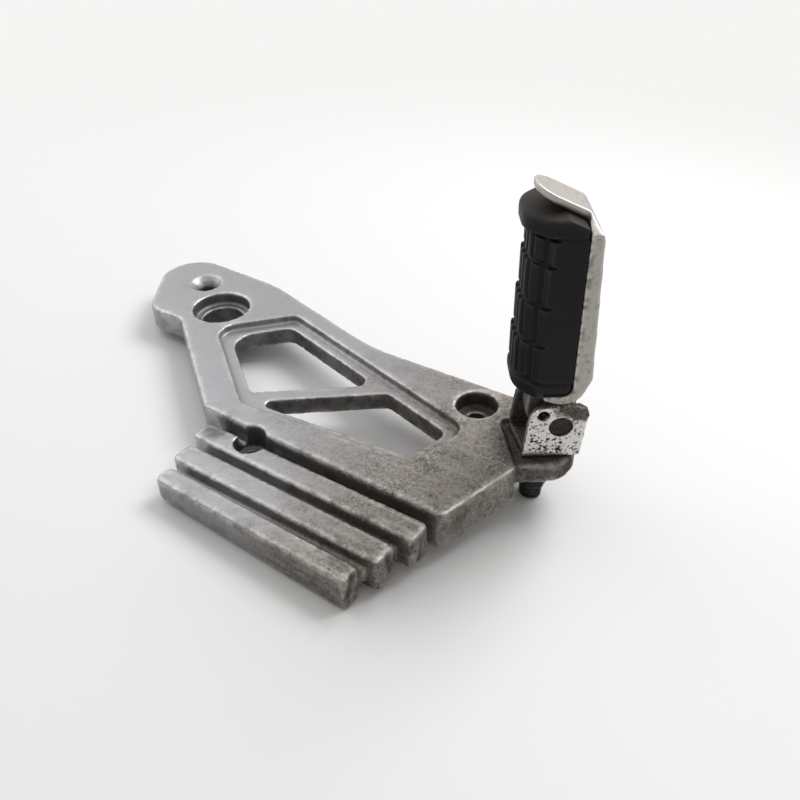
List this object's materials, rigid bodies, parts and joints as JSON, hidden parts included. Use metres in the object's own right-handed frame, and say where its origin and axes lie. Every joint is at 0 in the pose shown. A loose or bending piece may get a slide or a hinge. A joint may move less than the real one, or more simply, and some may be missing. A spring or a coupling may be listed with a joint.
{
  "type": "motorbike footrest plate with folding footpeg",
  "caption": "Cast aluminium footrest plate with a two-window frame, stepped heel ribs and a folding, sprung, rubber-covered footpeg in a steel bracket",
  "frame": {"origin": "axis of the bolt hole beside the peg, on the plate's back (mounting) face", "axes": "+Z away from the bike along the bolt holes, +Y along the pivot pin (the side of the pin's head), +X from the ear towards the peg"},
  "size_m": [0.2206, 0.2528, 0.1556],
  "materials": {
    "cast_aluminium": "bare casting, dulled, pitted and stained towards the ribs",
    "peg_aluminium": "bare casting, rubbed",
    "plated_steel": "worn bright plating with black pits",
    "plain_steel": "dull zinc",
    "rusty_steel": "brown rust",
    "black_steel": "black oxide, oily",
    "black_rubber": "matt moulded rubber"
  },
  "bodies": {
    "plate": {"cast_plate": "cast_aluminium", "peg_bracket": "plated_steel", "bracket_washer": "plain_steel", "bracket_nut": "black_steel", "pivot_pin": "rusty_steel", "return_spring": "plain_steel"},
    "peg": {"peg_carrier": "peg_aluminium", "peg_rubber": "black_rubber", "rubber_insert": "plain_steel", "rubber_screws": "plain_steel", "rubber_screw_washers": "plain_steel"}
  },
  "joints": [
    {"name": "peg_fold", "type": "hinge", "parent": "plate", "child": "peg", "pos_m": [0.0323, -0.0244, 0.0342], "axis": [0, -1, 0], "range_deg": [0, 60], "stiffness_Nm_per_rad": 0.4, "springref_deg": -51.57, "deforming": ["return_spring"]}
  ]
}
